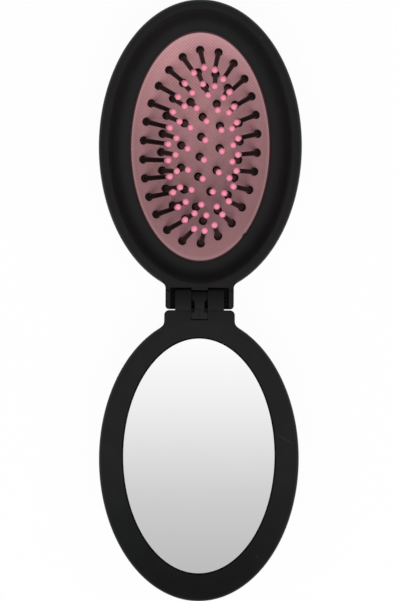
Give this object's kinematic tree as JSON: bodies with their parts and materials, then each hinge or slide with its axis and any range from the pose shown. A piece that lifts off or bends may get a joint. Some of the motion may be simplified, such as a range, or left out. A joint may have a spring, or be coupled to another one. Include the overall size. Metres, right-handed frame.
{
  "type": "folding hairbrush with mirror",
  "caption": "Pocket hairbrush that folds shut: an oval brush half with a pop-out rubber pad of ball-tipped pins, hinged to an oval mirror half.",
  "frame": {"origin": "middle of the whole part at the plane it stands on, under the hinge axis, with the brush open flat", "axes": "+Y towards the brush half, +Z the way the pins and the mirror face, X along the hinge axis"},
  "size_m": [0.061, 0.1807, 0.0245],
  "materials": {
    "shell_plastic": "fine matt black moulded plastic",
    "frame_plastic": "fine matt black moulded plastic",
    "pad_rubber": "dusty pink rubber with a fine diamond texture",
    "pin_metal": "blackened steel",
    "spring_plastic": "satin black acetal",
    "pin_nylon": "satin black nylon",
    "ball_coating": "glossy pink dipped coating",
    "tape_foam": "white foam tape",
    "mirror_silver": "silvered glass"
  },
  "bodies": {
    "brush_half": {"brush_shell": "shell_plastic", "pad_frame": "frame_plastic", "hinge_pin": "pin_metal"},
    "mirror_half": {"mirror_shell": "shell_plastic", "click_spring": "spring_plastic", "mirror_tape": "tape_foam", "mirror_glass": "mirror_silver"},
    "pad": {"pad": "pad_rubber", "centre_pins": "pin_nylon", "centre_balls": "ball_coating"},
    "outer_group_1": {"outer_pins_1": "pin_nylon", "outer_balls_1": "ball_coating"},
    "outer_group_2": {"outer_pins_2": "pin_nylon", "outer_balls_2": "ball_coating"},
    "outer_group_3": {"outer_pins_3": "pin_nylon", "outer_balls_3": "ball_coating"},
    "outer_group_4": {"outer_pins_4": "pin_nylon", "outer_balls_4": "ball_coating"},
    "outer_group_5": {"outer_pins_5": "pin_nylon", "outer_balls_5": "ball_coating"},
    "outer_group_6": {"outer_pins_6": "pin_nylon", "outer_balls_6": "ball_coating"},
    "outer_group_7": {"outer_pins_7": "pin_nylon", "outer_balls_7": "ball_coating"},
    "outer_group_8": {"outer_pins_8": "pin_nylon", "outer_balls_8": "ball_coating"},
    "middle_group_1": {"middle_pins_1": "pin_nylon", "middle_balls_1": "ball_coating"},
    "middle_group_2": {"middle_pins_2": "pin_nylon", "middle_balls_2": "ball_coating"},
    "middle_group_3": {"middle_pins_3": "pin_nylon", "middle_balls_3": "ball_coating"},
    "middle_group_4": {"middle_pins_4": "pin_nylon", "middle_balls_4": "ball_coating"},
    "middle_group_5": {"middle_pins_5": "pin_nylon", "middle_balls_5": "ball_coating"},
    "middle_group_6": {"middle_pins_6": "pin_nylon", "middle_balls_6": "ball_coating"},
    "inner_group_1": {"inner_pins_1": "pin_nylon", "inner_balls_1": "ball_coating"},
    "inner_group_2": {"inner_pins_2": "pin_nylon", "inner_balls_2": "ball_coating"},
    "inner_group_3": {"inner_pins_3": "pin_nylon", "inner_balls_3": "ball_coating"},
    "inner_group_4": {"inner_pins_4": "pin_nylon", "inner_balls_4": "ball_coating"}
  },
  "joints": [
    {"name": "fold", "type": "hinge", "parent": "brush_half", "child": "mirror_half", "pos_m": [0, 0, 0.021], "axis": [-1, 0, 0], "range_deg": [0, 180]},
    {"name": "pad_pop", "type": "slide", "parent": "brush_half", "child": "pad", "axis": [0, 0, 1], "range_m": [0, 0.0118], "deforming": ["pad", "outer_pins_1", "outer_pins_2", "outer_pins_3", "outer_pins_4", "outer_pins_5", "outer_pins_6", "outer_pins_7", "outer_pins_8", "middle_pins_1", "middle_pins_2", "middle_pins_3", "middle_pins_4", "middle_pins_5", "middle_pins_6", "inner_pins_1", "inner_pins_2", "inner_pins_3", "inner_pins_4", "centre_pins", "outer_balls_1", "outer_balls_2", "outer_balls_3", "outer_balls_4", "outer_balls_5", "outer_balls_6", "outer_balls_7", "outer_balls_8", "middle_balls_1", "middle_balls_2", "middle_balls_3", "middle_balls_4", "middle_balls_5", "middle_balls_6", "inner_balls_1", "inner_balls_2", "inner_balls_3", "inner_balls_4", "centre_balls"]},
    {"name": "outer_swing_1", "type": "hinge", "parent": "brush_half", "child": "outer_group_1", "pos_m": [0.01919, 0.05967, 0.01067], "axis": [-0.3094, 0.9509, 0], "range_deg": [0, 59.84]},
    {"name": "outer_swing_2", "type": "hinge", "parent": "brush_half", "child": "outer_group_2", "pos_m": [0.00711, 0.07809, 0.01063], "axis": [-0.8994, 0.437, 0], "range_deg": [0, 45.25]},
    {"name": "outer_swing_3", "type": "hinge", "parent": "brush_half", "child": "outer_group_3", "pos_m": [-0.01396, 0.07339, 0.01092], "axis": [-0.6832, -0.7302, 0], "range_deg": [0, 48.09]},
    {"name": "outer_swing_4", "type": "hinge", "parent": "brush_half", "child": "outer_group_4", "pos_m": [-0.02103, 0.05442, 0.01092], "axis": [-0.165, -0.9863, 0], "range_deg": [0, 60.31]},
    {"name": "outer_swing_5", "type": "hinge", "parent": "brush_half", "child": "outer_group_5", "pos_m": [-0.01903, 0.03287, 0.01067], "axis": [0.2856, -0.9583, 0], "range_deg": [0, 62.49]},
    {"name": "outer_swing_6", "type": "hinge", "parent": "brush_half", "child": "outer_group_6", "pos_m": [-0.00742, 0.0143, 0.01063], "axis": [0.8729, -0.4878, 0], "range_deg": [0, 43.96]},
    {"name": "outer_swing_7", "type": "hinge", "parent": "brush_half", "child": "outer_group_7", "pos_m": [0.01452, 0.0184, 0.01092], "axis": [0.6897, 0.7241, 0], "range_deg": [0, 43.1]},
    {"name": "outer_swing_8", "type": "hinge", "parent": "brush_half", "child": "outer_group_8", "pos_m": [0.02146, 0.03803, 0.01092], "axis": [0.1425, 0.9898, 0], "range_deg": [0, 56.32]},
    {"name": "middle_swing_1", "type": "hinge", "parent": "brush_half", "child": "middle_group_1", "pos_m": [0.03118, 0.06408, 0.0115], "axis": [-0.3625, 0.932, 0], "range_deg": [0, 26.94]},
    {"name": "middle_swing_2", "type": "hinge", "parent": "brush_half", "child": "middle_group_2", "pos_m": [-0.00299, 0.09191, 0.01151], "axis": [-0.9952, -0.0976, 0], "range_deg": [0, 23.23]},
    {"name": "middle_swing_3", "type": "hinge", "parent": "brush_half", "child": "middle_group_3", "pos_m": [-0.03115, 0.06282, 0.01148], "axis": [-0.3298, -0.9441, 0], "range_deg": [0, 27.76]},
    {"name": "middle_swing_4", "type": "hinge", "parent": "brush_half", "child": "middle_group_4", "pos_m": [-0.02924, 0.03038, 0.0115], "axis": [0.3039, -0.9527, 0], "range_deg": [0, 30.24]},
    {"name": "middle_swing_5", "type": "hinge", "parent": "brush_half", "child": "middle_group_5", "pos_m": [-0.00014, -0.00472, 0.01151], "axis": [0.9997, -0.0243, 0], "range_deg": [0, 19.33]},
    {"name": "middle_swing_6", "type": "hinge", "parent": "brush_half", "child": "middle_group_6", "pos_m": [0.03647, 0.02861, 0.01148], "axis": [0.3011, 0.9536, 0], "range_deg": [0, 22.55]},
    {"name": "inner_swing_1", "type": "hinge", "parent": "brush_half", "child": "inner_group_1", "pos_m": [0.08832, 0.08773, 0.01114], "axis": [-0.3917, 0.9201, 0], "range_deg": [0, 7.48]},
    {"name": "inner_swing_2", "type": "hinge", "parent": "brush_half", "child": "inner_group_2", "pos_m": [-0.04438, 0.11411, 0.01124], "axis": [-0.7938, -0.6082, 0], "range_deg": [0, 9.58]},
    {"name": "inner_swing_3", "type": "hinge", "parent": "brush_half", "child": "inner_group_3", "pos_m": [-0.07553, 0.02894, 0.01113], "axis": [0.155, -0.9879, 0], "range_deg": [0, 9.49]},
    {"name": "inner_swing_4", "type": "hinge", "parent": "brush_half", "child": "inner_group_4", "pos_m": [0.04133, -0.04776, 0.01125], "axis": [0.9007, 0.4345, 0], "range_deg": [0, 7.38]}
  ],
  "couplings": [
    {"joint": "outer_swing_1", "follows": "pad_pop", "rad_per_m": 88.481},
    {"joint": "outer_swing_2", "follows": "pad_pop", "rad_per_m": 66.9},
    {"joint": "outer_swing_3", "follows": "pad_pop", "rad_per_m": 71.1},
    {"joint": "outer_swing_4", "follows": "pad_pop", "rad_per_m": 89.173},
    {"joint": "outer_swing_5", "follows": "pad_pop", "rad_per_m": 92.399},
    {"joint": "outer_swing_6", "follows": "pad_pop", "rad_per_m": 64.993},
    {"joint": "outer_swing_7", "follows": "pad_pop", "rad_per_m": 63.726},
    {"joint": "outer_swing_8", "follows": "pad_pop", "rad_per_m": 83.27},
    {"joint": "middle_swing_1", "follows": "pad_pop", "rad_per_m": 39.813},
    {"joint": "middle_swing_2", "follows": "pad_pop", "rad_per_m": 34.329},
    {"joint": "middle_swing_3", "follows": "pad_pop", "rad_per_m": 41.031},
    {"joint": "middle_swing_4", "follows": "pad_pop", "rad_per_m": 44.697},
    {"joint": "middle_swing_5", "follows": "pad_pop", "rad_per_m": 28.565},
    {"joint": "middle_swing_6", "follows": "pad_pop", "rad_per_m": 33.317},
    {"joint": "inner_swing_1", "follows": "pad_pop", "rad_per_m": 11.031},
    {"joint": "inner_swing_2", "follows": "pad_pop", "rad_per_m": 14.147},
    {"joint": "inner_swing_3", "follows": "pad_pop", "rad_per_m": 14.003},
    {"joint": "inner_swing_4", "follows": "pad_pop", "rad_per_m": 10.893}
  ]
}
